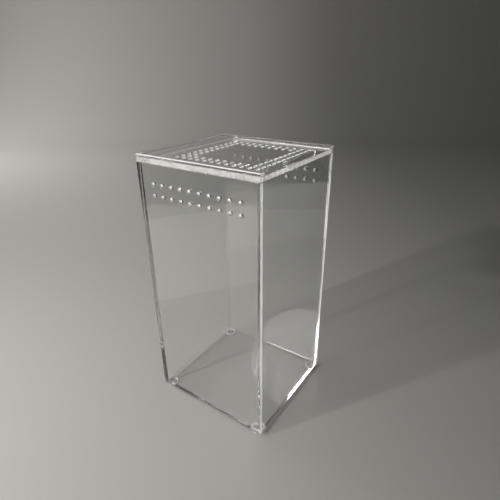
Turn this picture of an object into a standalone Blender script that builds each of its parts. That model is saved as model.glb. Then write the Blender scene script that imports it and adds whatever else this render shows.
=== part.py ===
"""Clear acrylic terrarium: a tall glued box of flat sheets with a vented lid that slides out.

Units are metres, Z is up. The origin is on the floor, under the middle of the box. The lid slides
out along +X, and the two vented walls face -Y (front) and +Y (back).
"""

import math

import bmesh
import bpy
from mathutils import Vector

# Outside of the case
CASE_LENGTH = 0.100
CASE_DEPTH = 0.0955
WALL_HEIGHT = 0.1944

# Sheets
WALL_THICKNESS = 0.003
BASE_THICKNESS = 0.003
LID_THICKNESS = 0.003
COVER_THICKNESS = 0.002

# Clearance left at every glue line, and around the sliding lid
GLUE_GAP = 0.0003
LID_LIFT = 0.0003
LID_HEADROOM = 0.0003
LID_SIDE_CLEARANCE = 0.0003
LID_END_CLEARANCE = 0.0003

# Rails: the lid bears on the wall tops and is held down by the lips of the covers
LID_BEARING = 0.0007
SIDE_COVER_LIP = 0.0021
END_SPACER_WIDTH = 0.0117
END_COVER_LIP = 0.0066

# Vent holes in the front and back walls
WALL_VENT_DIAMETER = 0.0026
WALL_VENT_PITCH = 0.008
WALL_VENT_COLUMNS = 10
WALL_VENT_ROWS = 2
WALL_VENT_TOP_DROP = 0.0138

# Vent holes in the lid, in square rings
LID_VENT_DIAMETER = 0.0025
LID_VENT_PITCH = 0.0059
LID_VENT_SIDE_COUNT = 12
LID_VENT_RINGS = 2

# Pull bar on the lid
PULL_LENGTH = 0.038
PULL_WIDTH = 0.003
PULL_HEIGHT = 0.003
PULL_EDGE_RADIUS = 0.0003

# Round bumper feet
FOOT_DIAMETER = 0.010
FOOT_HEIGHT = 0.003
FOOT_CONTACT_DIAMETER = 0.0044
FOOT_RIM_HEIGHT = 0.0005
FOOT_EDGE_INSET = 0.0005

# Mesh fineness
VENT_SIDES = 12
FOOT_STEPS = 24
FOOT_ARC_POINTS = 6
MERGE_DISTANCE = 0.00001
CUT_OVERRUN = 0.001

# Places worked out from the sizes above
CASE_BOTTOM = FOOT_HEIGHT
WALL_TOP = CASE_BOTTOM + WALL_HEIGHT
LID_BOTTOM = WALL_TOP + LID_LIFT
LID_TOP = LID_BOTTOM + LID_THICKNESS
COVER_BOTTOM = LID_TOP + LID_HEADROOM
COVER_TOP = COVER_BOTTOM + COVER_THICKNESS
SPACER_BOTTOM = WALL_TOP + GLUE_GAP
SPACER_TOP = COVER_BOTTOM - GLUE_GAP

HALF_LENGTH = CASE_LENGTH / 2
HALF_DEPTH = CASE_DEPTH / 2
INNER_HALF_LENGTH = HALF_LENGTH - WALL_THICKNESS
INNER_HALF_DEPTH = HALF_DEPTH - WALL_THICKNESS

SIDE_SPACER_WIDTH = WALL_THICKNESS - LID_BEARING - LID_SIDE_CLEARANCE
SIDE_COVER_WIDTH = SIDE_SPACER_WIDTH + LID_SIDE_CLEARANCE + SIDE_COVER_LIP
END_COVER_WIDTH = END_SPACER_WIDTH + LID_END_CLEARANCE + END_COVER_LIP

LID_REAR = -HALF_LENGTH + END_SPACER_WIDTH + LID_END_CLEARANCE
LID_FRONT = HALF_LENGTH
LID_HALF_WIDTH = HALF_DEPTH - SIDE_SPACER_WIDTH - LID_SIDE_CLEARANCE

# Colours and finishes
SHEET_COLOUR = (0.93, 0.95, 0.95, 1.0)
FOOT_COLOUR = (0.90, 0.90, 0.88, 1.0)
SHEET_ROUGHNESS = 0.03
FOOT_ROUGHNESS = 0.12
CLEAR_ALPHA = 0.35


def clear_scene():
    """Remove every object, so that the model starts from nothing."""
    for item in list(bpy.data.objects):
        bpy.data.objects.remove(item, do_unlink=True)


def make_collection(name):
    """Return a new collection under the scene's own."""
    group = bpy.data.collections.new(name)
    bpy.context.scene.collection.children.link(group)
    return group


def make_material(name, colour, roughness):
    """Return a clear plastic material of its own for one piece."""
    material = bpy.data.materials.new(name)
    material.use_nodes = True
    shader = material.node_tree.nodes["Principled BSDF"]
    shader.inputs["Base Color"].default_value = colour
    shader.inputs["Roughness"].default_value = roughness
    shader.inputs["Metallic"].default_value = 0.0
    shader.inputs["Transmission Weight"].default_value = 1.0
    shader.inputs["Alpha"].default_value = CLEAR_ALPHA
    material.diffuse_color = colour
    return material


def link_mesh(name, mesh, group, location, parent=None):
    """Put a mesh in the scene as a named object at a place."""
    item = bpy.data.objects.new(name, mesh)
    group.objects.link(item)
    item.location = location
    if parent is not None:
        item.parent = parent
    return item


def sheet_mesh(name, size):
    """Return a flat sheet: a box of the given size about its own middle."""
    build = bmesh.new()
    bmesh.ops.create_cube(build, size=1.0)
    bmesh.ops.scale(build, vec=size, verts=build.verts)
    mesh = bpy.data.meshes.new(name)
    build.to_mesh(mesh)
    build.free()
    return mesh


def add_sheet(name, low, high, group, parent=None):
    """Add a sheet piece between two corners, with its origin at its middle.

    The corners are in the frame of the parent, where there is one.
    """
    size = [top - bottom for bottom, top in zip(low, high)]
    middle = [(top + bottom) / 2 for bottom, top in zip(low, high)]
    item = link_mesh(name, sheet_mesh(name, size), group, middle, parent)
    item.data.materials.append(make_material(name, SHEET_COLOUR, SHEET_ROUGHNESS))
    return item


def drill_cutter(name, centres, axis, diameter, depth, group, parent=None):
    """Add one cutter that holds a straight drill for each hole centre."""
    build = bmesh.new()
    turn = axis.to_track_quat("Z", "Y").to_matrix().to_4x4()
    for centre in centres:
        bmesh.ops.create_cone(
            build,
            cap_ends=True,
            segments=VENT_SIDES,
            radius1=diameter / 2,
            radius2=diameter / 2,
            depth=depth,
            matrix=turn_about(centre, turn),
        )
    mesh = bpy.data.meshes.new(name)
    build.to_mesh(mesh)
    build.free()
    cutter = link_mesh(name, mesh, group, (0, 0, 0), parent)
    cutter.hide_render = True
    cutter.display_type = "WIRE"
    return cutter


def turn_about(centre, turn):
    """Return the matrix that turns a shape and then moves it to a centre."""
    placed = turn.copy()
    placed.translation = centre
    return placed


def cut(item, cutter):
    """Cut one object's mesh out of another with a live modifier."""
    modifier = item.modifiers.new(cutter.name, "BOOLEAN")
    modifier.operation = "DIFFERENCE"
    modifier.solver = "EXACT"
    modifier.object = cutter


def row_places(count, pitch):
    """Return the places of an evenly spaced row about zero."""
    return [(index - (count - 1) / 2) * pitch for index in range(count)]


def wall_vent_centres(wall_y):
    """Return the vent centres of a wall whose middle plane is at wall_y."""
    centres = []
    for row in range(WALL_VENT_ROWS):
        height = WALL_TOP - WALL_VENT_TOP_DROP - row * WALL_VENT_PITCH
        for across in row_places(WALL_VENT_COLUMNS, WALL_VENT_PITCH):
            centres.append(Vector((across, wall_y, height)))
    return centres


def lid_vent_centres(middle_x, middle_z):
    """Return the vent centres of the lid: the outer rings of a square grid."""
    places = row_places(LID_VENT_SIDE_COUNT, LID_VENT_PITCH)
    last = LID_VENT_SIDE_COUNT - 1
    centres = []
    for column, along in enumerate(places):
        for row, across in enumerate(places):
            ring = min(column, row, last - column, last - row)
            if ring < LID_VENT_RINGS:
                centres.append(Vector((middle_x + along, across, middle_z)))
    return centres


def build_case(parts, cutters):
    """Build the base plate and the four walls."""
    add_sheet(
        "base_plate",
        (-INNER_HALF_LENGTH + GLUE_GAP, -INNER_HALF_DEPTH + GLUE_GAP, CASE_BOTTOM),
        (INNER_HALF_LENGTH - GLUE_GAP, INNER_HALF_DEPTH - GLUE_GAP, CASE_BOTTOM + BASE_THICKNESS),
        parts,
    )
    for name, side in (("front_wall", -1), ("back_wall", 1)):
        inner = side * INNER_HALF_DEPTH
        outer = side * HALF_DEPTH
        wall = add_sheet(
            name,
            (-HALF_LENGTH, min(inner, outer), CASE_BOTTOM),
            (HALF_LENGTH, max(inner, outer), WALL_TOP),
            parts,
        )
        drill = drill_cutter(
            name + "_vents",
            wall_vent_centres((inner + outer) / 2),
            Vector((0, 1, 0)),
            WALL_VENT_DIAMETER,
            WALL_THICKNESS + CUT_OVERRUN,
            cutters,
        )
        cut(wall, drill)
    for name, side in (("closed_end_wall", -1), ("mouth_end_wall", 1)):
        inner = side * INNER_HALF_LENGTH
        outer = side * HALF_LENGTH
        add_sheet(
            name,
            (min(inner, outer), -INNER_HALF_DEPTH + GLUE_GAP, CASE_BOTTOM),
            (max(inner, outer), INNER_HALF_DEPTH - GLUE_GAP, WALL_TOP),
            parts,
        )


def build_rails(parts):
    """Build the spacers beside and behind the lid, and the covers over them."""
    for name, side in (("front", -1), ("back", 1)):
        outer = side * HALF_DEPTH
        spacer_inner = side * (HALF_DEPTH - SIDE_SPACER_WIDTH)
        cover_inner = side * (HALF_DEPTH - SIDE_COVER_WIDTH)
        add_sheet(
            "rail_spacer_" + name,
            (-HALF_LENGTH, min(outer, spacer_inner), SPACER_BOTTOM),
            (HALF_LENGTH, max(outer, spacer_inner), SPACER_TOP),
            parts,
        )
        add_sheet(
            "rail_cover_" + name,
            (-HALF_LENGTH + END_COVER_WIDTH + GLUE_GAP, min(outer, cover_inner), COVER_BOTTOM),
            (HALF_LENGTH, max(outer, cover_inner), COVER_TOP),
            parts,
        )
    spacer_half_depth = HALF_DEPTH - SIDE_SPACER_WIDTH - GLUE_GAP
    add_sheet(
        "rail_spacer_closed_end",
        (-HALF_LENGTH, -spacer_half_depth, SPACER_BOTTOM),
        (-HALF_LENGTH + END_SPACER_WIDTH, spacer_half_depth, SPACER_TOP),
        parts,
    )
    add_sheet(
        "rail_cover_closed_end",
        (-HALF_LENGTH, -HALF_DEPTH, COVER_BOTTOM),
        (-HALF_LENGTH + END_COVER_WIDTH, HALF_DEPTH, COVER_TOP),
        parts,
    )


def build_lid(parts, cutters):
    """Build the vented lid and its pull bar, hung on an empty at the slide's axis."""
    slide = bpy.data.objects.new("lid_slide_axis", None)
    parts.objects.link(slide)
    slide.location = ((LID_REAR + LID_FRONT) / 2, 0, (LID_BOTTOM + LID_TOP) / 2)
    half_length = (LID_FRONT - LID_REAR) / 2
    half_thickness = LID_THICKNESS / 2
    plate = add_sheet(
        "lid_plate",
        (-half_length, -LID_HALF_WIDTH, -half_thickness),
        (half_length, LID_HALF_WIDTH, half_thickness),
        parts,
        slide,
    )
    drill = drill_cutter(
        "lid_vents",
        lid_vent_centres(0, 0),
        Vector((0, 0, 1)),
        LID_VENT_DIAMETER,
        LID_THICKNESS + CUT_OVERRUN,
        cutters,
        slide,
    )
    cut(plate, drill)
    pull_bottom = half_thickness + GLUE_GAP
    pull = add_sheet(
        "lid_pull",
        (half_length - PULL_WIDTH, -PULL_LENGTH / 2, pull_bottom),
        (half_length, PULL_LENGTH / 2, pull_bottom + PULL_HEIGHT),
        parts,
        slide,
    )
    soften = pull.modifiers.new("edges", "BEVEL")
    soften.width = PULL_EDGE_RADIUS
    soften.segments = 1


def foot_profile():
    """Return a bumper's outline, from the middle of its top round to its contact face."""
    top = FOOT_HEIGHT - GLUE_GAP
    radius = FOOT_DIAMETER / 2
    contact = FOOT_CONTACT_DIAMETER / 2
    shoulder = top - FOOT_RIM_HEIGHT
    points = [(0, 0, top), (radius, 0, top)]
    for index in range(FOOT_ARC_POINTS + 1):
        angle = math.pi / 2 * index / FOOT_ARC_POINTS
        reach = contact + (radius - contact) * math.cos(angle)
        points.append((reach, 0, shoulder * (1 - math.sin(angle))))
    points.append((0, 0, 0))
    mesh = bpy.data.meshes.new("foot")
    edges = [(index, index + 1) for index in range(len(points) - 1)]
    mesh.from_pydata(points, edges, [])
    return mesh


def build_feet(parts):
    """Build the four round bumpers under the corners."""
    inset = FOOT_EDGE_INSET + FOOT_DIAMETER / 2
    mesh = foot_profile()
    for depth_name, depth_side in (("front", -1), ("back", 1)):
        for length_name, length_side in (("closed", -1), ("mouth", 1)):
            name = "foot_" + depth_name + "_" + length_name
            place = (length_side * (HALF_LENGTH - inset), depth_side * (HALF_DEPTH - inset), 0)
            foot = link_mesh(name, mesh.copy(), parts, place)
            foot.data.materials.append(make_material(name, FOOT_COLOUR, FOOT_ROUGHNESS))
            turn = foot.modifiers.new("turned", "SCREW")
            turn.steps = FOOT_STEPS
            turn.render_steps = FOOT_STEPS
            turn.use_merge_vertices = True
            turn.merge_threshold = MERGE_DISTANCE
            turn.use_smooth_shade = True
    bpy.data.meshes.remove(mesh)


def main():
    """Build the whole terrarium."""
    clear_scene()
    parts = make_collection("acrylic_terrarium")
    cutters = make_collection("cutters")
    build_case(parts, cutters)
    build_rails(parts)
    build_lid(parts, cutters)
    build_feet(parts)
    bpy.context.view_layer.update()


main()
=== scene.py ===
"""Looks of a clear acrylic terrarium: glued sheets, a vented lid that slides out, round bumper feet.

Units are metres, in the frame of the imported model. Z is up and the lid slides out along +X.
"""

import logging
import math
from dataclasses import asdict, dataclass, field, replace
from enum import Enum
from typing import ClassVar

import bmesh
import bpy
from bpy.types import Material, Mesh, Node, NodeSocket, NodeTree, Object
from mathutils import Matrix, Quaternion, Vector


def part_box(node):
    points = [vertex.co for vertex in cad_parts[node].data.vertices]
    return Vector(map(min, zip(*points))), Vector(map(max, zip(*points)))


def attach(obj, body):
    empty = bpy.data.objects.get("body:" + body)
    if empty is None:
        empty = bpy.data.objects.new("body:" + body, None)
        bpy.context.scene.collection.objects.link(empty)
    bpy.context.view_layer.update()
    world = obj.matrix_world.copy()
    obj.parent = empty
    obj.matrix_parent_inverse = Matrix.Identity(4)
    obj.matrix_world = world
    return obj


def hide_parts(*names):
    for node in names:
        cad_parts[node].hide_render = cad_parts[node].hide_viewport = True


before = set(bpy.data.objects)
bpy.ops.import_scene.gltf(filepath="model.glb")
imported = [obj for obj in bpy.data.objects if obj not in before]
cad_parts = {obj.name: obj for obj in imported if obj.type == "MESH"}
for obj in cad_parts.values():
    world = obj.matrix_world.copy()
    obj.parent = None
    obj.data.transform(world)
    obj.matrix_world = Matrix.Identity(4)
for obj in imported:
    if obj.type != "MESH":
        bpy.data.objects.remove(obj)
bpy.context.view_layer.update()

LOG = logging.getLogger("terrarium")

Triple = tuple[float, float, float]
Sockets = bpy.types.bpy_prop_collection


class Axis(Enum):
    """An axis of the model's frame."""

    X = 0
    Y = 1
    Z = 2

    def unit(self) -> Vector:
        """Return the axis as a unit vector."""
        return Vector([1.0 if index == self.value else 0.0 for index in range(3)])

    def others(self) -> tuple[int, int]:
        """Return the numbers of the two axes across this one."""
        rest = [index for index in range(3) if index != self.value]
        return rest[0], rest[1]


class Side(Enum):
    """The lower or the upper end of a box along an axis."""

    LOW = -1
    HIGH = 1


class Surface(Enum):
    """The kinds of surface on a sheet, in the order of its material slots."""

    FACE = 0
    CUT = 1
    GLUED = 2
    BORE = 3
    SAWN = 4


@dataclass
class Box:
    """A box along the axes, between two corners."""

    low: Vector
    high: Vector

    @classmethod
    def of_node(cls, node: str) -> "Box":
        """Return the box of a CAD node at rest.

        Args:
            node: The CAD node's name.
        """
        low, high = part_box(node)
        return cls(low.copy(), high.copy())

    def end(self, axis: Axis, side: Side) -> float:
        """Return where the box ends along an axis, on one side."""
        return (self.low if side is Side.LOW else self.high)[axis.value]

    def to(self, axis: Axis, side: Side, place: float) -> "Box":
        """Return the box with one of its ends moved to a place.

        Args:
            axis: The axis along which the end moves.
            side: Which of the two ends moves.
            place: Where the end goes, along the axis.

        Returns:
            A new box.
        """
        moved = Box(self.low.copy(), self.high.copy())
        corner = moved.low if side is Side.LOW else moved.high
        corner[axis.value] = place
        return moved

    def between(self, axis: Axis, low: float, high: float) -> "Box":
        """Return the box with both its ends along an axis moved."""
        return self.to(axis, Side.LOW, low).to(axis, Side.HIGH, high)

    def middle(self) -> Vector:
        """Return the middle of the box."""
        return (self.low + self.high) / 2


class Wiring:
    """Adds and links the nodes of one shader or geometry tree."""

    def __init__(self, tree: NodeTree) -> None:
        """Start on a tree.

        Args:
            tree: The tree that the nodes go into.
        """
        self.tree = tree

    def add(self, kind: str, **settings: object) -> Node:
        """Add a node and set its properties.

        Args:
            kind: Blender's name for the node's type.
            settings: The node's own properties by name.

        Returns:
            The node.
        """
        node = self.tree.nodes.new(kind)
        for name, value in settings.items():
            setattr(node, name, value)
        return node

    def put(self, socket: NodeSocket, value: object) -> None:
        """Set a socket to a value, or link it to another socket."""
        if isinstance(value, NodeSocket):
            self.tree.links.new(value, socket)
        else:
            socket.default_value = value

    def fill(self, node: Node, inputs: dict[object, object]) -> None:
        """Set or link inputs of a node, by name or number."""
        for label, value in inputs.items():
            self.put(node.inputs[label], value)

    def run(self, kind: str, inputs: dict[object, object], **settings: object) -> Node:
        """Add a node with its inputs filled.

        Args:
            kind: Blender's name for the node's type.
            inputs: Numbers or sockets, by the name or number of the node's input.
            settings: The node's own properties by name.

        Returns:
            The node.
        """
        node = self.add(kind, **settings)
        self.fill(node, inputs)
        return node

    def math(self, operation: str, *values: object, clamp: bool = False) -> NodeSocket:
        """Add a Math node and return its result.

        Args:
            operation: The node's operation, such as MULTIPLY.
            values: Numbers or sockets, in the order of the node's inputs.
            clamp: Whether the result is kept between 0 and 1.

        Returns:
            The node's output.
        """
        inputs = dict(enumerate(values))
        return self.run("ShaderNodeMath", inputs, operation=operation, use_clamp=clamp).outputs[0]

    def past(self, value: object, start: float, contrast: float) -> NodeSocket:
        """Return how far a value is past a start, times a contrast, kept between 0 and 1."""
        return self.math("MULTIPLY", self.math("SUBTRACT", value, start), contrast, clamp=True)

    def scaled(self, vector: object, scale: object) -> NodeSocket:
        """Return a colour or vector times a number."""
        inputs = {0: vector, "Scale": scale}
        return self.run("ShaderNodeVectorMath", inputs, operation="SCALE").outputs[0]

    def split(self, vector: NodeSocket) -> Sockets:
        """Return a vector's three parts, as sockets."""
        return self.run("ShaderNodeSeparateXYZ", {0: vector}).outputs

    def mixed(self, share: object, first: object, second: object) -> NodeSocket:
        """Return a mix of two shaders, with a share of the second."""
        return self.run("ShaderNodeMixShader", {0: share, 1: first, 2: second}).outputs[0]


def start_group(
    name: str, inputs: dict[str, str], outputs: tuple[str, ...]
) -> tuple[Wiring, Sockets, Sockets]:
    """Start a shader node group with named sockets.

    Args:
        name: The group's name.
        inputs: Each input's kind of socket, by name.
        outputs: The names of the outputs, all numbers.

    Returns:
        The group's wiring, what it is given and what it puts out.
    """
    group = bpy.data.node_groups.new(name, "ShaderNodeTree")
    for label, kind in inputs.items():
        group.interface.new_socket(label, in_out="INPUT", socket_type="NodeSocket" + kind)
    for label in outputs:
        group.interface.new_socket(label, in_out="OUTPUT", socket_type="NodeSocketFloat")
    wires = Wiring(group)
    return wires, wires.add("NodeGroupInput").outputs, wires.add("NodeGroupOutput").inputs


def new_material(name: str) -> tuple[Material, Wiring, Node]:
    """Make a material, and return it with its wiring and its Principled shader."""
    material = bpy.data.materials.new(name)
    material.use_nodes = True
    tree = material.node_tree
    return material, Wiring(tree), tree.nodes["Principled BSDF"]


def noise(wires: Wiring, where: object, scale: float, detail: float = 2.0) -> NodeSocket:
    """Add a noise texture and return its value.

    Args:
        wires: The tree that it goes into.
        where: The socket of the coordinates.
        scale: The noise's scale, per metre.
        detail: How many octaves it has.

    Returns:
        The noise's value, about a half on average.
    """
    inputs = {"Vector": where, "Scale": scale, "Detail": detail}
    return wires.run("ShaderNodeTexNoise", inputs).outputs[0]


@dataclass(frozen=True)
class HandlingMarks:
    """The shared group for the faint marks and unevenness of a polished face."""

    smear_scale: float = 28.0
    smear_start: float = 0.52
    smear_contrast: float = 6.0
    wave_scale: float = 22.0

    def build(self) -> None:
        """Build the group, which puts out a roughness and a height."""
        wires, given, result = start_group(
            "handling_marks",
            {"Vector": "Vector", "Polish": "Float", "Smudge": "Float"},
            ("Roughness", "Height"),
        )
        patches = noise(wires, given["Vector"], self.smear_scale, detail=3.0)
        smear = wires.past(patches, self.smear_start, self.smear_contrast)
        rough = wires.math("MULTIPLY_ADD", smear, given["Smudge"], given["Polish"])
        wires.put(result["Roughness"], rough)
        wires.put(result["Height"], noise(wires, given["Vector"], self.wave_scale, detail=1.0))


@dataclass(frozen=True)
class CutLines:
    """The shared group for the fine lines that the cutter leaves across a sheet's edge."""

    fine_scale: float = 2600.0
    fine_share: float = 0.35
    coarse_scale: float = 700.0
    grain_scale: float = 900.0
    grain_floor: float = 0.5
    speck_scale: float = 1100.0
    speck_start: float = 0.42
    speck_contrast: float = 5.0

    def build(self) -> None:
        """Build the group, which puts out a roughness, a height and a shade for the colour."""
        wires, given, result = start_group(
            "cut_lines",
            {"Vector": "Vector", "Along": "Vector", "Roughness": "Float", "Mottle": "Float"},
            ("Roughness", "Height", "Shade"),
        )
        where = given["Vector"]
        inputs = {0: where, 1: given["Along"]}
        along = wires.run("ShaderNodeVectorMath", inputs, operation="MULTIPLY").outputs[0]
        fine = noise(wires, along, self.fine_scale, detail=1.0)
        coarse = noise(wires, along, self.coarse_scale)
        height = wires.math("ADD", wires.math("MULTIPLY", fine, self.fine_share), coarse)
        wires.put(result["Height"], height)
        grain = wires.math("ADD", noise(wires, where, self.grain_scale), self.grain_floor)
        wires.put(result["Roughness"], wires.math("MULTIPLY", given["Roughness"], grain))
        specks = wires.past(noise(wires, where, self.speck_scale), self.speck_start, self.speck_contrast)
        darkened = wires.math("MULTIPLY", specks, given["Mottle"])
        wires.put(result["Shade"], wires.math("SUBTRACT", 1.0, darkened))


@dataclass(frozen=True)
class ClearPlastic:
    """What every clear finish shares: the colour that it passes and how it bends light."""

    name: str
    colour: Triple = (0.985, 0.99, 0.988)
    refraction: float = 1.49
    clearness: float = 1.0
    glow: float = 0.0
    passes: float = 0.93

    def start(self) -> tuple[Material, Wiring, Node]:
        """Make the material with its Principled shader.

        Returns:
            The material, its wiring and its shader node.
        """
        material, wires, shader = new_material(self.name)
        inputs = {
            "Base Color": (*self.colour, 1.0),
            "Metallic": 0.0,
            "Transmission Weight": self.clearness,
            "IOR": self.refraction,
        }
        wires.fill(shader, inputs)
        return material, wires, shader

    def let_light_through(self, wires: Wiring, surface: NodeSocket) -> None:
        """Let lamplight and the floor's own light pass straight through, so that the shadow is see-through.

        A frosted surface also scatters a share of the light that reaches it from its far side.

        Args:
            wires: The material's wiring.
            surface: The shader of the surface without its frost.
        """
        if self.glow:
            frost = wires.run("ShaderNodeBsdfTranslucent", {"Color": (*self.colour, 1.0)})
            surface = wires.mixed(self.glow, surface, frost.outputs[0])
        path = wires.add("ShaderNodeLightPath").outputs
        straight = wires.math("MAXIMUM", path["Is Shadow Ray"], path["Is Diffuse Ray"])
        tint = (self.passes, self.passes, self.passes, 1.0)
        clear = wires.run("ShaderNodeBsdfTransparent", {"Color": tint}).outputs[0]
        output = wires.tree.nodes["Material Output"]
        wires.put(output.inputs["Surface"], wires.mixed(straight, surface, clear))

    def marks(self, wires: Wiring, group: str, **values: object) -> Node:
        """Place a shared group in the material, on Object coordinates.

        Args:
            wires: The material's wiring.
            group: The group's name.
            values: The group's input values by name.

        Returns:
            The group's node.
        """
        node = wires.add("ShaderNodeGroup", node_tree=bpy.data.node_groups[group])
        wires.fill(node, {"Vector": wires.add("ShaderNodeTexCoord").outputs["Object"], **values})
        return node

    def relief(self, wires: Wiring, shader: Node, height: object, depth: float) -> None:
        """Give the shader a bump.

        Args:
            wires: The material's wiring.
            shader: The Principled shader.
            height: The socket of the height, from 0 to 1.
            depth: How deep a height of 1 is.
        """
        bump = wires.run("ShaderNodeBump", {"Distance": depth, "Height": height})
        wires.put(shader.inputs["Normal"], bump.outputs["Normal"])


@dataclass(frozen=True)
class PolishedFace(ClearPlastic):
    """A smooth face, as cast or moulded: clear, with faint smudges, and a little uneven on a sheet."""

    polish: float = 0.0
    smudge: float = 0.008
    unevenness: float = 0.000006

    def make(self) -> Material:
        """Make the material."""
        material, wires, shader = self.start()
        marks = self.marks(wires, "handling_marks", Polish=self.polish, Smudge=self.smudge)
        wires.put(shader.inputs["Roughness"], marks.outputs["Roughness"])
        if self.unevenness:
            self.relief(wires, shader, marks.outputs["Height"], self.unevenness)
        self.let_light_through(wires, shader.outputs[0])
        return material


@dataclass(frozen=True)
class CutEdge(ClearPlastic):
    """A sheet's edge as the cutter left it, with fine lines across the sheet."""

    thin: Axis = Axis.Z
    roughness: float = 0.02
    depth: float = 0.00002
    passes: float = 0.45
    mottle: float = 0.0

    def make(self) -> Material:
        """Make the material."""
        material, wires, shader = self.start()
        along = Vector((1.0, 1.0, 1.0)) - self.thin.unit()
        lines = self.marks(wires, "cut_lines", Along=along, Roughness=self.roughness, Mottle=self.mottle)
        wires.put(shader.inputs["Roughness"], lines.outputs["Roughness"])
        if self.mottle:
            wires.put(shader.inputs["Base Color"], wires.scaled(self.colour, lines.outputs["Shade"]))
        self.relief(wires, shader, lines.outputs["Height"], self.depth)
        self.let_light_through(wires, shader.outputs[0])
        return material


@dataclass(frozen=True)
class GluedJoint(ClearPlastic):
    """The face of a glued joint: clear where the glue wetted it, silvery in small bubbles."""

    bubble_spacing: float = 0.0024
    bubble_share: float = 0.10
    roughness: float = 0.02
    passes: float = 1.0

    def make(self) -> Material:
        """Make the material."""
        material, wires, shader = self.start()
        shader.inputs["Roughness"].default_value = self.roughness
        where = wires.add("ShaderNodeTexCoord").outputs["Object"]
        cells = wires.run("ShaderNodeTexVoronoi", {"Scale": 1 / self.bubble_spacing, "Vector": where})
        inside = wires.math("LESS_THAN", cells.outputs["Distance"], self.bubble_share)
        clear = wires.add("ShaderNodeBsdfTransparent").outputs[0]
        self.let_light_through(wires, wires.mixed(inside, clear, shader.outputs[0]))
        return material


@dataclass
class SheetFinishes:
    """The materials of every sheet, one cut edge for each way a sheet can lie."""

    face: Material
    cuts: dict[Axis, Material]
    glued: Material
    bore: Material
    scorched: Material
    sawn: Material

    def slots(self, thin: Axis) -> list[Material]:
        """Return a sheet's materials, in the order of Surface."""
        return [self.face, self.cuts[thin], self.glued, self.bore, self.sawn]


WALL_BORE = CutEdge("wall_bore", depth=0.0)
# Painted highlight: a white frosted copy of the hole finish, only on the side of each wall vent where the
# lamplight falls.
PAINTED_LIT_BORE = CutEdge("painted_lit_bore", depth=0.0, roughness=0.3, clearness=0.0, glow=0.9, passes=0.9)
LID_BORE = CutEdge("lid_bore", depth=0.0, roughness=0.3, clearness=0.0)
WALL_EDGE = CutEdge(
    "lit_wall_edge", thin=Axis.Y, roughness=0.04, depth=0.0001, glow=0.38, passes=0.9, mottle=0.2
)
BACK_EDGE = replace(WALL_EDGE, name="sunlit_wall_edge", glow=0.65, mottle=0.3)
SPACER_EDGE = CutEdge(
    "spacer_edge", roughness=0.12, depth=0.00008, clearness=0.6, glow=0.15, passes=0.9, mottle=0.45
)
# White and frosted: on the covers' sawn ends, and on their front top arris as a painted glint where the key
# lamp's glint falls.
COVER_EDGE = CutEdge("cover_end_and_glint_edge", depth=0.0, roughness=0.3, clearness=0.0, glow=0.4, passes=0.9)
LID_END = CutEdge("lid_end_edge", roughness=0.03, glow=0.43, passes=0.9, mottle=0.4)
BUMPER_DOME = PolishedFace("clear_bumper", polish=0.03, smudge=0.05, unevenness=0.0, passes=0.9)
# Painted highlight: a white band round each bumper's edge, standing in for the ring of light that the clear
# dome's edge bends.
BUMPER_RIM = replace(BUMPER_DOME, name="painted_ring_bumper_rim", polish=0.35, clearness=0.0, glow=0.25)

GLUE_FILM = 0.00002
CONTACT_REACH = 0.00005
CUT_TOLERANCE = GLUE_FILM / 20
SHARP_ANGLE = math.radians(40.0)
ROUND_PROFILE = 0.5
ALONG_COSINE = 0.9


def level(azimuth: float) -> Vector:
    """Return the level unit vector at an azimuth from +X."""
    return Vector((math.cos(azimuth), math.sin(azimuth), 0.0))


def faces_along(face: bmesh.types.BMFace, direction: Vector) -> bool:
    """Tell whether a face looks along a direction, within about 25 degrees."""
    return face.normal.dot(direction) > ALONG_COSINE


def finished_mesh(build: bmesh.types.BMesh, name: str) -> Mesh:
    """Turn a mesh that was being built into a mesh with a name."""
    mesh = bpy.data.meshes.new(name)
    build.to_mesh(mesh)
    build.free()
    return mesh


def new_object(name: str, data: bpy.types.ID) -> Object:
    """Make an object and link it to the scene."""
    made = bpy.data.objects.new(name, data)
    bpy.context.scene.collection.objects.link(made)
    return made


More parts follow.
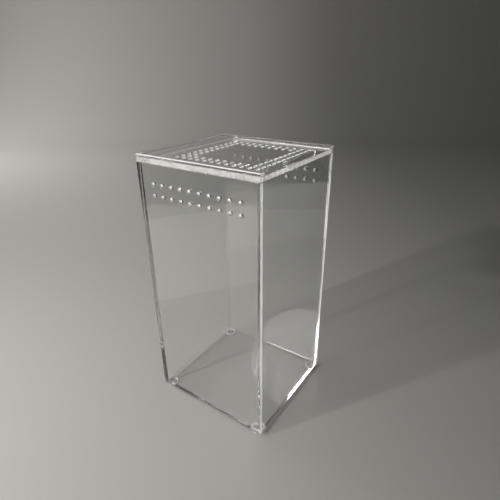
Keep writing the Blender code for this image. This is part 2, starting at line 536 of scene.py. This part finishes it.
@dataclass
class Sheet:
    """One flat sheet: its box, what it is glued to, and the piece that shows it."""

    name: str
    node: str
    box: Box
    thin: Axis
    body: str
    slot: str
    edge_round: float = 0.00015
    round_segments: int = 3
    sawn_sides: tuple[tuple[Axis, Side], ...] = ()
    scraped_arris: tuple[tuple[Axis, Side], tuple[Axis, Side]] | None = None
    arris_width: float = 0.0008
    contacts: list[Box] = field(default_factory=list)
    piece: Object | None = None

    def patches(self) -> list[tuple[Axis, Side, Box]]:
        """Find where the sheet's faces meet the sheets that it is glued to.

        Returns:
            The axis and side of each contact, and the patch as a box.
        """
        found = []
        for other in self.contacts:
            for axis in Axis:
                for side, facing in ((Side.LOW, Side.HIGH), (Side.HIGH, Side.LOW)):
                    if abs(self.box.end(axis, side) - other.end(axis, facing)) > CONTACT_REACH:
                        continue
                    low = Vector([max(pair) for pair in zip(self.box.low, other.low)])
                    high = Vector([min(pair) for pair in zip(self.box.high, other.high)])
                    if all(high[index] - low[index] > CONTACT_REACH for index in axis.others()):
                        found.append((axis, side, Box(low, high)))
        return found

    def mesh(self) -> Mesh:
        """Make the sheet's mesh, with its glued patches marked and its edges rounded."""
        build = bmesh.new()
        bmesh.ops.create_cube(build, size=1.0)
        bmesh.ops.scale(build, vec=self.box.high - self.box.low, verts=build.verts)
        bmesh.ops.translate(build, vec=self.box.middle(), verts=build.verts)
        for face in build.faces:
            flat = any(faces_along(face, self.thin.unit() * side.value) for side in Side)
            sawn = any(faces_along(face, axis.unit() * side.value) for axis, side in self.sawn_sides)
            kind = Surface.SAWN if sawn else Surface.FACE if flat else Surface.CUT
            face.material_index = kind.value
        for axis, side, patch in self.patches():
            self.mark_patch(build, axis, side, patch)
        if self.scraped_arris:
            self.scrape(build)
        sharp = [edge for edge in build.edges if edge.calc_face_angle(0.0) > SHARP_ANGLE]
        rounded = bmesh.ops.bevel(
            build,
            geom=sharp,
            offset=self.edge_round,
            offset_type="OFFSET",
            segments=self.round_segments,
            profile=ROUND_PROFILE,
            affect="EDGES",
            material=Surface.CUT.value,
        )
        for face in rounded["faces"]:
            face.smooth = True
        return finished_mesh(build, self.name)

    def scrape(self, build: bmesh.types.BMesh) -> None:
        """Bevel a flat along the sheet's chosen arris, in the sawn finish, which on a cover is a painted
        glint.
        """
        ways = [axis.unit() * side.value for axis, side in self.scraped_arris]
        arris = [
            edge
            for edge in build.edges
            if all(any(faces_along(face, way) for face in edge.link_faces) for way in ways)
        ]
        bmesh.ops.bevel(
            build,
            geom=arris,
            offset=self.arris_width,
            offset_type="OFFSET",
            segments=1,
            affect="EDGES",
            material=Surface.SAWN.value,
        )

    def mark_patch(self, build: bmesh.types.BMesh, axis: Axis, side: Side, patch: Box) -> None:
        """Cut a glued patch out of one face and mark it.

        Args:
            build: The sheet's mesh.
            axis: The axis across the glued face.
            side: The side of the box that the face is on.
            patch: The patch, as a box along the other two axes.
        """
        outward = axis.unit() * side.value
        for index in axis.others():
            for place in (patch.low[index], patch.high[index]):
                faces = [face for face in build.faces if faces_along(face, outward)]
                edges = {edge for face in faces for edge in face.edges}
                corners = {corner for face in faces for corner in face.verts}
                cut_along = Axis(index).unit()
                bmesh.ops.bisect_plane(
                    build,
                    geom=faces + list(edges) + list(corners),
                    dist=CUT_TOLERANCE,
                    plane_co=cut_along * place,
                    plane_no=cut_along,
                )
        for face in build.faces:
            middle = face.calc_center_median()
            within = all(patch.low[index] < middle[index] < patch.high[index] for index in axis.others())
            if within and faces_along(face, outward):
                face.material_index = Surface.GLUED.value

    def make(self, finishes: SheetFinishes) -> None:
        """Make the piece, with its materials.

        Args:
            finishes: The materials of every sheet.
        """
        mesh = self.mesh()
        for material in finishes.slots(self.thin):
            mesh.materials.append(material)
        self.piece = new_object(self.name, mesh)

    def hand_over(self) -> None:
        """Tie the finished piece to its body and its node."""
        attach(self.piece, self.body)
        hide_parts(self.node)
        LOG.info("%s: %d faces", self.name, len(self.piece.data.polygons))


def glue(*sheets: Sheet) -> None:
    """Glue sheets to one another, wherever their faces meet."""
    for sheet in sheets:
        sheet.contacts += [other.box for other in sheets if other is not sheet]


@dataclass(frozen=True)
class VentPattern:
    """A square grid of round vent holes, all of it or only its outer rings."""

    diameter: float
    pitch: float
    columns: int
    rows: int
    bare_half_width: float = 0.0
    lip: float = 0.00015
    sides: int = 40


class Perforator:
    """Drills vent holes with one geometry node tree, whose inputs have the names of the pattern's values.

    A drill has three rings of faces: one through the sheet, and one that flares past each of its faces. The
    side of a hole that looks along +X, past a small limit, gets a white frosted copy of the hole's finish:
    a painted highlight on the side where the lamplight falls.
    """

    RINGS: ClassVar[int] = 3
    SCORCHED_FROM: ClassVar[float] = 0.1
    INPUTS: ClassVar[dict[str, tuple[str, ...]]] = {
        "Geometry": ("sheet",),
        "Float": ("diameter", "thickness", "lip", "pitch", "bare_half_width"),
        "Int": ("columns", "rows", "sides"),
        "Vector": ("centre", "turn"),
        "Material": ("bore_finish", "scorched_finish"),
    }

    def __init__(self) -> None:
        """Build the tree."""
        self.tree = bpy.data.node_groups.new("drill_vents", "GeometryNodeTree")
        interface = self.tree.interface
        self.names = {}
        for kind, labels in self.INPUTS.items():
            for label in labels:
                socket = interface.new_socket(label, in_out="INPUT", socket_type="NodeSocket" + kind)
                self.names[label] = socket.identifier
        interface.new_socket("sheet", in_out="OUTPUT", socket_type="NodeSocketGeometry")
        self.wire()

    def wire(self) -> None:
        """Wire the tree: the drills are taken out of the sheet, and the walls of the holes are dressed."""
        wires = Wiring(self.tree)
        size = wires.add("NodeGroupInput").outputs
        last = wires.add("NodeGroupOutput")
        drilled = wires.run(
            "GeometryNodeMeshBoolean",
            {"Mesh 1": size["sheet"], "Mesh 2": self.drills(wires, size)},
            operation="DIFFERENCE",
            solver="EXACT",
        )
        real = wires.run("GeometryNodeRealizeInstances", {0: drilled.outputs["Mesh"]})
        bore = wires.run("GeometryNodeInputNamedAttribute", {"Name": "bore"}, data_type="BOOLEAN")
        in_bore = bore.outputs["Attribute"]
        dressed = self.dress(wires, real.outputs[0], in_bore, size["bore_finish"])
        facing = wires.split(wires.add("GeometryNodeInputNormal").outputs[0])
        # Painted highlight: hole walls that look along +X, where the lamplight falls, get the white frosted
        # finish.
        painted_lit_side = wires.math("GREATER_THAN", facing[0], self.SCORCHED_FROM)
        scorched = wires.run("FunctionNodeBooleanMath", {0: in_bore, 1: painted_lit_side}, operation="AND")
        finished = self.dress(wires, dressed, scorched.outputs[0], size["scorched_finish"])
        wires.put(last.inputs[0], finished)

    def drills(self, wires: Wiring, size: Sockets) -> NodeSocket:
        """Wire the square grid of drills, marked so that the walls of the holes can be found.

        Args:
            wires: The tree.
            size: The tree's inputs by name.

        Returns:
            The drills' geometry.
        """
        grid = wires.add("GeometryNodeMeshGrid")
        for name, count in (("X", "columns"), ("Y", "rows")):
            wires.put(grid.inputs["Vertices " + name], size[count])
            steps = wires.math("SUBTRACT", size[count], 1.0)
            wires.put(grid.inputs["Size " + name], wires.math("MULTIPLY", steps, size["pitch"]))

        place = wires.split(wires.add("GeometryNodeInputPosition").outputs[0])
        off_centre = [wires.math("ABSOLUTE", place[index]) for index in range(2)]
        furthest = wires.math("MAXIMUM", *off_centre)
        kept = wires.math("GREATER_THAN", furthest, size["bare_half_width"])

        rings = {"Side Segments": self.RINGS, "Depth": float(self.RINGS)}
        drill = wires.run(
            "GeometryNodeMeshCylinder", {"Vertices": size["sides"], "Radius": 1.0, **rings}
        ).outputs
        shaped = wires.run(
            "GeometryNodeSetPosition",
            {"Geometry": drill["Mesh"], "Position": self.drill_profile(wires, size)},
        )
        smooth = wires.run(
            "GeometryNodeSetShadeSmooth",
            {"Geometry": shaped.outputs["Geometry"], "Selection": drill["Side"]},
        )
        mark = wires.run(
            "GeometryNodeStoreNamedAttribute",
            {"Geometry": smooth.outputs[0], "Name": "bore", "Value": True},
            data_type="BOOLEAN",
            domain="FACE",
        )
        copies = wires.run(
            "GeometryNodeInstanceOnPoints",
            {"Points": grid.outputs["Mesh"], "Instance": mark.outputs[0], "Selection": kept},
        )
        turned = wires.run(
            "GeometryNodeTransform",
            {"Geometry": copies.outputs[0], "Translation": size["centre"], "Rotation": size["turn"]},
        )
        return wires.run("GeometryNodeRealizeInstances", {0: turned.outputs[0]}).outputs[0]

    def dress(
        self, wires: Wiring, geometry: NodeSocket, chosen: NodeSocket, material: NodeSocket
    ) -> NodeSocket:
        """Give the chosen faces a material.

        Args:
            wires: The tree.
            geometry: The geometry's socket.
            chosen: Which faces get the material.
            material: The material's socket.

        Returns:
            The dressed geometry.
        """
        inputs = {"Geometry": geometry, "Selection": chosen, "Material": material}
        return wires.run("GeometryNodeSetMaterial", inputs).outputs[0]

    def drill_profile(self, wires: Wiring, size: Sockets) -> NodeSocket:
        """Wire the drill's shape: straight through the sheet, and flared by the lip past each face.

        Args:
            wires: The tree.
            size: The tree's inputs by name.

        Returns:
            The place of each point of a cylinder of radius 1, 3 high and with three rings of faces.
        """
        start = wires.split(wires.add("GeometryNodeInputPosition").outputs[0])
        end_ring = wires.math("GREATER_THAN", wires.math("ABSOLUTE", start[2]), 1.0)
        radius = wires.math("DIVIDE", size["diameter"], 2.0)
        flare = wires.math("MULTIPLY", size["lip"], 2.0)
        reach = wires.math("MULTIPLY_ADD", end_ring, flare, radius)
        inner_height = wires.math("SUBTRACT", wires.math("DIVIDE", size["thickness"], 2.0), size["lip"])
        height = wires.math("MULTIPLY_ADD", end_ring, flare, inner_height)
        shape = (
            wires.math("MULTIPLY", start[0], reach),
            wires.math("MULTIPLY", start[1], reach),
            wires.math("MULTIPLY", wires.math("SIGN", start[2]), height),
        )
        return wires.run("ShaderNodeCombineXYZ", dict(enumerate(shape))).outputs[0]

    def drill(self, sheet: Sheet, pattern: VentPattern, centre: Vector, finishes: SheetFinishes) -> None:
        """Drill a sheet's piece and make the result a plain mesh.

        Args:
            sheet: The sheet, whose piece is made.
            pattern: The pattern of holes.
            centre: The middle of the pattern.
            finishes: Has the materials of the holes' walls.
        """
        piece = sheet.piece
        values = asdict(pattern) | {
            "thickness": (sheet.box.high - sheet.box.low)[sheet.thin.value],
            "centre": centre,
            "turn": Axis.X.unit() * (math.pi / 2 if sheet.thin is Axis.Y else 0.0),
            "bore_finish": finishes.bore,
            "scorched_finish": finishes.scorched,
        }
        modifier = piece.modifiers.new("vents", "NODES")
        modifier.node_group = self.tree
        for label, value in values.items():
            modifier[self.names[label]] = value
        plain = as_plain_mesh(piece)
        piece.modifiers.clear()
        piece.data = plain


def as_plain_mesh(piece: Object) -> Mesh:
    """Return a piece's mesh with its modifiers applied."""
    bpy.context.view_layer.update()
    graph = bpy.context.evaluated_depsgraph_get()
    ready = piece.evaluated_get(graph)
    mesh = bpy.data.meshes.new_from_object(ready, preserve_all_data_layers=True, depsgraph=graph)
    mesh.name = piece.name
    return mesh


@dataclass
class Case:
    """The glued case: base plate, four walls, the lid's rails and their covers."""

    WALLS: ClassVar[tuple[str, ...]] = ("front_wall", "back_wall")
    ENDS: ClassVar[tuple[str, ...]] = ("closed_end_wall", "mouth_end_wall")
    SPACERS: ClassVar[tuple[str, ...]] = (
        "rail_spacer_front",
        "rail_spacer_back",
        "rail_spacer_closed_end",
    )
    COVERS: ClassVar[tuple[str, ...]] = ("rail_cover_front", "rail_cover_back", "rail_cover_closed_end")

    finishes: SheetFinishes
    spacer_edge: Material
    back_edge: Material
    cover_edge: Material
    wall_vents: VentPattern = VentPattern(diameter=0.0026, pitch=0.008, columns=10, rows=2, lip=0.00025)
    wall_vent_top_drop: float = 0.0138
    sheets: dict[str, Sheet] = field(default_factory=dict)

    def lay_out(self) -> None:
        """Grow the sheets' boxes from the CAD's until they meet at the glue films."""
        box = {name: Box.of_node(name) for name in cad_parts}
        inner_front = box["front_wall"].high.y + GLUE_FILM
        inner_back = box["back_wall"].low.y - GLUE_FILM
        for name in self.ENDS + ("base_plate",):
            box[name] = box[name].between(Axis.Y, inner_front, inner_back)
        inner_closed = box["closed_end_wall"].high.x + GLUE_FILM
        inner_mouth = box["mouth_end_wall"].low.x - GLUE_FILM
        box["base_plate"] = box["base_plate"].between(Axis.X, inner_closed, inner_mouth)

        wall_top = box["front_wall"].high.z + GLUE_FILM
        cover_bottom = box["rail_cover_front"].low.z - GLUE_FILM
        for name in self.SPACERS:
            box[name] = box[name].between(Axis.Z, wall_top, cover_bottom)
        beside_front = box["rail_spacer_front"].high.y + GLUE_FILM
        beside_back = box["rail_spacer_back"].low.y - GLUE_FILM
        end = box["rail_spacer_closed_end"]
        box["rail_spacer_closed_end"] = end.between(Axis.Y, beside_front, beside_back)
        cover_end = box["rail_cover_closed_end"].high.x + GLUE_FILM
        for name in ("rail_cover_front", "rail_cover_back"):
            box[name] = box[name].to(Axis.X, Side.LOW, cover_end)

        for names, thin in ((self.WALLS, Axis.Y), (self.ENDS, Axis.X), (("base_plate",), Axis.Z)):
            for name in names:
                self.sheets[name] = Sheet(name + "_sheet", name, box[name], thin, "case", "acrylic_sheet")
        for name in self.SPACERS + self.COVERS:
            self.sheets[name] = Sheet(name + "_strip", name, box[name], Axis.Z, "case", "acrylic_rail")
        glue(*self.sheets.values())

    def choose_edges(self) -> None:
        """Choose which sides of the sheets are sawn, and which arris of the covers gets a painted glint."""
        for name in self.SPACERS:
            self.sheets[name].sawn_sides = tuple((axis, side) for axis in (Axis.X, Axis.Y) for side in Side)
        for name in self.WALLS + ("rail_cover_front", "rail_cover_back"):
            self.sheets[name].sawn_sides = ((Axis.X, Side.HIGH),)
        self.sheets["front_wall"].sawn_sides += ((Axis.Z, Side.LOW),)
        # Painted glint: the front top arris of these covers is bevelled and given the white cover finish.
        for name in ("rail_cover_front", "rail_cover_closed_end"):
            self.sheets[name].scraped_arris = ((Axis.Y, Side.LOW), (Axis.Z, Side.HIGH))

    def finishes_of(self, sheet: Sheet) -> SheetFinishes:
        """Return a sheet's finishes, with the sawn edges of its kind."""
        if sheet.node in self.SPACERS:
            return replace(self.finishes, sawn=self.spacer_edge)
        if sheet.node in self.COVERS:
            return replace(self.finishes, sawn=self.cover_edge)
        if sheet.node == "back_wall":
            return replace(self.finishes, sawn=self.back_edge)
        return self.finishes

    def build(self, perforator: Perforator) -> None:
        """Make every sheet of the case.

        Args:
            perforator: What drills the vents.
        """
        self.lay_out()
        self.choose_edges()
        for sheet in self.sheets.values():
            sheet.make(self.finishes_of(sheet))
        for name in self.WALLS:
            sheet = self.sheets[name]
            centre = sheet.box.middle()
            lower_row_drop = self.wall_vents.pitch * (self.wall_vents.rows - 1) / 2
            centre.z = sheet.box.high.z - self.wall_vent_top_drop - lower_row_drop
            perforator.drill(sheet, self.wall_vents, centre, self.finishes)
        for sheet in self.sheets.values():
            sheet.hand_over()


@dataclass
class Lid:
    """The sliding lid: its vented plate and the pull bar glued to it."""

    finishes: SheetFinishes
    pitch: float = 0.0059
    rings: int = 2
    side_count: int = 12
    diameter: float = 0.0025

    def build(self, perforator: Perforator) -> None:
        """Make the plate and the bar.

        Args:
            perforator: What drills the vents.
        """
        plate_box = Box.of_node("lid_plate")
        pull_box = Box.of_node("lid_pull")
        pull_box = pull_box.to(Axis.Z, Side.LOW, plate_box.high.z + GLUE_FILM)
        plate = Sheet("lid_plate_sheet", "lid_plate", plate_box, Axis.Z, "lid", "acrylic_lid")
        plate.sawn_sides = ((Axis.X, Side.HIGH),)
        pull = Sheet("lid_pull_bar", "lid_pull", pull_box, Axis.Z, "lid", "acrylic_lid", edge_round=0.0003)
        glue(plate, pull)
        plate.make(self.finishes)
        pull.make(self.finishes)
        pattern = VentPattern(
            self.diameter,
            self.pitch,
            columns=self.side_count,
            rows=self.side_count,
            bare_half_width=(self.side_count / 2 - self.rings) * self.pitch,
        )
        perforator.drill(plate, pattern, plate_box.middle(), self.finishes)
        plate.hand_over()
        pull.hand_over()


@dataclass
class Feet:
    """The four round bumpers under the corners."""

    dome: Material
    rim: Material
    diameter: float = 0.010
    contact_diameter: float = 0.0044
    rim_round: float = 0.0006
    pale_band: float = 0.0014
    steps: int = 48
    arc_points: int = 12
    rim_points: int = 4

    def outline(self, top: float) -> list[tuple[float, float]]:
        """Return a bumper's outline as radius and height, from its top down to its contact face."""
        radius = self.diameter / 2
        contact = self.contact_diameter / 2
        shoulder = top - self.rim_round
        points = [(0.0, top)]
        for index in range(self.rim_points):
            angle = math.pi / 2 * index / self.rim_points
            reach = radius - self.rim_round * (1 - math.sin(angle))
            points.append((reach, shoulder + self.rim_round * math.cos(angle)))
        for index in range(self.arc_points + 1):
            angle = math.pi / 2 * index / self.arc_points
            reach = contact + (radius - contact) * math.cos(angle)
            points.append((reach, shoulder * (1 - math.sin(angle))))
        points.append((0.0, 0.0))
        return points

    def turn(self, name: str, middle: Vector, top: float) -> Mesh:
        """Turn the outline round a bumper's axis, ring by ring, so that the mesh is the same each run.

        Args:
            name: The mesh's name.
            middle: The middle of the bumper's CAD box.
            top: The height of its top.

        Returns:
            The closed mesh, with its faces looking out.
        """
        build = bmesh.new()
        rings = []
        for reach, height in self.outline(top):
            rays = [level(math.tau * step / self.steps) for step in range(self.steps if reach else 1)]
            places = [(middle.x + reach * ray.x, middle.y + reach * ray.y, height) for ray in rays]
            rings.append([build.verts.new(place) for place in places])
        for upper, lower in zip(rings, rings[1:]):
            for step in range(self.steps):
                after = step + 1
                way_round = ((upper, step), (lower, step), (lower, after), (upper, after))
                corners = dict.fromkeys(ring[index % len(ring)] for ring, index in way_round)
                build.faces.new(tuple(corners))
        return finished_mesh(build, name)

    def build(self) -> None:
        """Make each bumper under its corner of the case."""
        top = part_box("front_wall")[0].z + GLUE_FILM
        nodes = sorted(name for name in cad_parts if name.startswith("foot_"))
        for node in nodes:
            middle = Box.of_node(node).middle()
            mesh = self.turn(node + "_bumper", middle, top)
            mesh.shade_smooth()
            mesh.set_sharp_from_angle(angle=SHARP_ANGLE)
            mesh.materials.append(self.dome)
            mesh.materials.append(self.rim)
            for face in mesh.polygons:
                # The outer band gets the white rim finish, a painted ring of light.
                outer = math.dist(face.center.xy, middle.xy) > self.diameter / 2 - self.pale_band
                face.material_index = int(outer)
            piece = new_object(node + "_bumper", mesh)
            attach(piece, "case")
            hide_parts(node)
            LOG.info("%s: %d faces", piece.name, len(mesh.polygons))


SUN_PLACE = (-0.289, -0.578, 0.468)
CARD_PLACE = (-0.233, -0.500, 0.523)
NEAR_CARD_PLACE = (-0.2136, -0.2883, 0.004)
FAR_CARD_PLACE = (-0.4575, -1.015, 0.004)
BACKDROP_LAMP_PLACE = (-1.3, -0.1, 0.6)
BACKDROP_LEFT = (-0.9, 0.6, 0.0)
OBJECT_MIDDLE = (0.0, 0.0, 0.1)
WARM_WHITE = (1.0, 0.97, 0.92)


def above(place: Triple) -> Triple:
    """Return the point straight above a place, a metre over the floor."""
    return (place[0], place[1], 1.0)


@dataclass(frozen=True)
class Softbox:
    """A lamp, round unless it has a length. It lights, shows in mirrors and clear sheets, or both."""

    name: str
    place: Triple
    aim: Triple
    size: float
    power: float
    lights: bool = True
    mirrored: bool = True
    length: float = 0.0
    turn: float = 0.0
    colour: Triple = WARM_WHITE

    def build(self) -> None:
        """Hang the lamp."""
        data = bpy.data.lights.new(self.name, "AREA")
        data.shape = "RECTANGLE" if self.length else "DISK"
        data.size = self.size
        if self.length:
            data.size_y = self.length
        data.energy = self.power
        data.color = self.colour
        stand = new_object(self.name, data)
        stand.location = self.place
        aim = Vector(self.aim) - Vector(self.place)
        turned = aim.to_track_quat("-Z", "Y") @ Quaternion((0.0, 0.0, 1.0), self.turn)
        stand.rotation_euler = turned.to_euler()
        stand.visible_diffuse = self.lights
        stand.visible_glossy = self.mirrored
        stand.visible_transmission = self.mirrored


@dataclass(frozen=True)
class PaintedShadeFloor:
    """Painted shade of the unlit room: a dark floor patch out of view, seen only in mirrors and clear
    sheets.
    """

    name: str
    azimuth: float
    starts: float
    ends: float
    left: float
    right: float
    height: float = 0.001

    def build(self, material: Material) -> None:
        """Lay it on the floor.

        Args:
            material: Its finish.
        """
        out = level(self.azimuth)
        left = Vector((-out.y, out.x, 0.0))
        lift = Vector((0.0, 0.0, self.height))
        corners = (
            (self.starts, self.right),
            (self.ends, self.right),
            (self.ends, self.left),
            (self.starts, self.left),
        )
        mesh = bpy.data.meshes.new(self.name)
        places = [out * ahead + left * aside + lift for ahead, aside in corners]
        mesh.from_pydata(places, [], [(0, 1, 2, 3)])
        mesh.materials.append(material)
        patch = new_object(self.name, mesh)
        patch.visible_camera = False
        patch.visible_diffuse = False
        patch.visible_shadow = False


@dataclass(frozen=True)
class PaperSweep:
    """The seamless paper: a floor that curves up into a backdrop, with painted shade to the camera's right.
    """

    ahead: Vector
    behind: float = 4.0
    reach: float = 1.1
    bend: float = 0.6
    bend_steps: int = 24
    height: float = 0.7
    half_width: float = 4.0
    colour: Triple = (0.40, 0.40, 0.385)
    roughness: float = 0.28
    shade_reach: float = 0.4
    far_shade: float = 0.72

    def profile(self) -> list[tuple[float, float]]:
        """Return the paper's outline, as distances ahead and heights."""
        points = [(-self.behind, 0.0)]
        for index in range(self.bend_steps + 1):
            angle = math.pi / 2 * index / self.bend_steps
            points.append((self.reach + self.bend * math.sin(angle), self.bend * (1 - math.cos(angle))))
        points.append((self.reach + self.bend, self.height))
        return points

    def build(self) -> None:
        """Lay the paper out."""
        left = Vector((-self.ahead.y, self.ahead.x, 0.0))
        build = bmesh.new()
        rows = []
        for along, up in self.profile():
            middle = self.ahead * along + Vector((0.0, 0.0, up))
            rows.append([build.verts.new(middle + left * side * self.half_width) for side in (-1, 1)])
        for lower, upper in zip(rows, rows[1:]):
            build.faces.new((lower[0], upper[0], upper[1], lower[1]))
        mesh = finished_mesh(build, "paper_sweep")
        mesh.shade_smooth()
        mesh.materials.append(self.finish(-left))
        sweep = new_object("paper_sweep", mesh)

    def finish(self, right: Vector) -> Material:
        """Make the paper's material.

        Args:
            right: The level direction in which the painted shade darkens it.

        Returns:
            The material.
        """
        material, wires, shader = new_material("grey_paper")
        where = wires.add("ShaderNodeTexCoord").outputs["Object"]
        # Painted shade: the paper's colour darkens towards the camera's right, standing in for the lamps'
        # light falling off.
        across = wires.run("ShaderNodeVectorMath", {0: where, 1: right}, operation="DOT_PRODUCT")
        share = wires.math("DIVIDE", across.outputs["Value"], self.shade_reach, clamp=True)
        shade = wires.math("MULTIPLY_ADD", share, self.far_shade - 1.0, 1.0)
        colour = wires.scaled(self.colour, shade)
        wires.fill(shader, {"Base Color": colour, "Roughness": self.roughness})
        return material


@dataclass(frozen=True)
class PhotoCamera:
    """The camera, where the photograph was taken from."""

    azimuth: float = math.radians(124.919)
    elevation: float = math.radians(25.309)
    roll: float = math.radians(-0.609)
    place: Triple = (0.165194, -0.223216, 0.256821)
    focal_pixels: float = 395.897
    image_pixels: float = 500.0
    sensor_width: float = 36.0
    nearest: float = 0.01

    def build(self) -> None:
        """Set the camera up."""
        ahead = level(self.azimuth) * math.cos(self.elevation)
        ahead.z = -math.sin(self.elevation)
        right = ahead.cross(Vector((0, 0, 1))).normalized()
        up = right.cross(ahead)
        turn, lift = math.cos(self.roll), math.sin(self.roll)
        data = bpy.data.cameras.new("camera")
        data.sensor_width = self.sensor_width
        data.lens = self.sensor_width * self.focal_pixels / self.image_pixels
        data.clip_start = self.nearest
        camera = new_object("camera", data)
        turned = Matrix((right * turn + up * lift, up * turn - right * lift, -ahead)).transposed().to_4x4()
        turned.translation = Vector(self.place)
        camera.matrix_world = turned
        bpy.context.scene.camera = camera


@dataclass(frozen=True)
class Studio:
    """The camera, the paper, the lamps and the light of the room."""

    camera: PhotoCamera = PhotoCamera()
    lamps: tuple[Softbox, ...] = (
        Softbox("key", SUN_PLACE, OBJECT_MIDDLE, size=0.03, power=6.6, mirrored=False),
        Softbox("key_card_rim", CARD_PLACE, OBJECT_MIDDLE, size=0.28, power=2.46, lights=False),
        Softbox("key_card", CARD_PLACE, OBJECT_MIDDLE, size=0.20, power=1.25, lights=False),
        Softbox("key_card_core", CARD_PLACE, OBJECT_MIDDLE, size=0.12, power=0.45, lights=False),
        Softbox(
            "near_card",
            NEAR_CARD_PLACE,
            above(NEAR_CARD_PLACE),
            size=0.28,
            power=0.133,
            lights=False,
            length=0.397,
            turn=math.radians(-34.9),
        ),
        Softbox(
            "far_card",
            FAR_CARD_PLACE,
            above(FAR_CARD_PLACE),
            size=0.525,
            power=1.95,
            lights=False,
            length=0.37,
        ),
        Softbox("backdrop_lamp", BACKDROP_LAMP_PLACE, BACKDROP_LEFT, size=0.6, power=12.0, mirrored=False),
    )
    # Painted shade: dark patches where the room beyond the paper is unlit; they show only in reflections.
    dark_floors: tuple[PaintedShadeFloor, ...] = (
        PaintedShadeFloor("painted_shade_floor_left", math.radians(235.1), starts=0.557, ends=1.5, left=0.45, right=-0.45),
        PaintedShadeFloor("painted_shade_floor_right", math.radians(55.1), starts=0.50, ends=1.5, left=0.13, right=-0.8),
    )
    dark_colour: Triple = (0.02, 0.02, 0.02)
    fill_colour: Triple = (0.85, 0.93, 1.0)
    window_direction: Triple = (-0.8, -0.55, 0.45)
    window_focus: float = 3.0
    window_fill: float = 0.13
    room_fill: float = 0.025
    bounces: int = 128

    def build(self) -> None:
        """Set up everything round the object."""
        self.camera.build()
        PaperSweep(level(self.camera.azimuth)).build()
        dark, wires, shader = new_material("painted_shade_floor")
        wires.fill(shader, {"Base Color": (*self.dark_colour, 1.0), "Roughness": 1.0})
        for floor in self.dark_floors:
            floor.build(dark)
        for lamp in self.lamps:
            lamp.build()
        self.light_room()
        self.set_quality()

    def light_room(self) -> None:
        """Fill the room with a weak light, stronger from the window's side."""
        world = bpy.data.worlds.new("studio")
        world.use_nodes = True
        wires = Wiring(world.node_tree)
        background = world.node_tree.nodes["Background"]
        background.inputs["Color"].default_value = (*self.fill_colour, 1.0)
        where = wires.add("ShaderNodeTexCoord").outputs["Generated"]
        window = Vector(self.window_direction).normalized()
        towards = wires.run("ShaderNodeVectorMath", {0: where, 1: window}, operation="DOT_PRODUCT")
        facing = wires.math("MAXIMUM", towards.outputs["Value"], 0.0)
        share = wires.math("POWER", facing, self.window_focus)
        strength = wires.math("MULTIPLY_ADD", share, self.window_fill, self.room_fill)
        wires.put(background.inputs["Strength"], strength)
        bpy.context.scene.world = world

    def set_quality(self) -> None:
        """Let light pass through all the sheets."""
        scene = bpy.context.scene
        scene.view_settings.view_transform = "Standard"
        scene.cycles.max_bounces = self.bounces
        scene.cycles.transmission_bounces = self.bounces
        scene.cycles.glossy_bounces = self.bounces
        scene.cycles.transparent_max_bounces = self.bounces
        scene.cycles.blur_glossy = 0.0
        scene.cycles.sample_clamp_indirect = 0.0


def main() -> None:
    """Build the studio, the finishes, the case, the lid and the feet in turn."""
    logging.basicConfig(level=logging.INFO, format="%(name)s: %(message)s")
    Studio().build()
    HandlingMarks().build()
    CutLines().build()
    face = PolishedFace("acrylic_face").make()
    glued = GluedJoint("acrylic_glued_joint").make()
    cuts = {axis: CutEdge("laser_cut_edge_" + axis.name.lower(), thin=axis).make() for axis in Axis}
    walls = SheetFinishes(face, cuts, glued, WALL_BORE.make(), PAINTED_LIT_BORE.make(), WALL_EDGE.make())
    lid_bore = LID_BORE.make()
    perforator = Perforator()
    Case(walls, SPACER_EDGE.make(), BACK_EDGE.make(), COVER_EDGE.make()).build(perforator)
    Lid(SheetFinishes(face, cuts, glued, lid_bore, lid_bore, LID_END.make())).build(perforator)
    Feet(BUMPER_DOME.make(), BUMPER_RIM.make()).build()


if __name__ == "__main__":
    main()
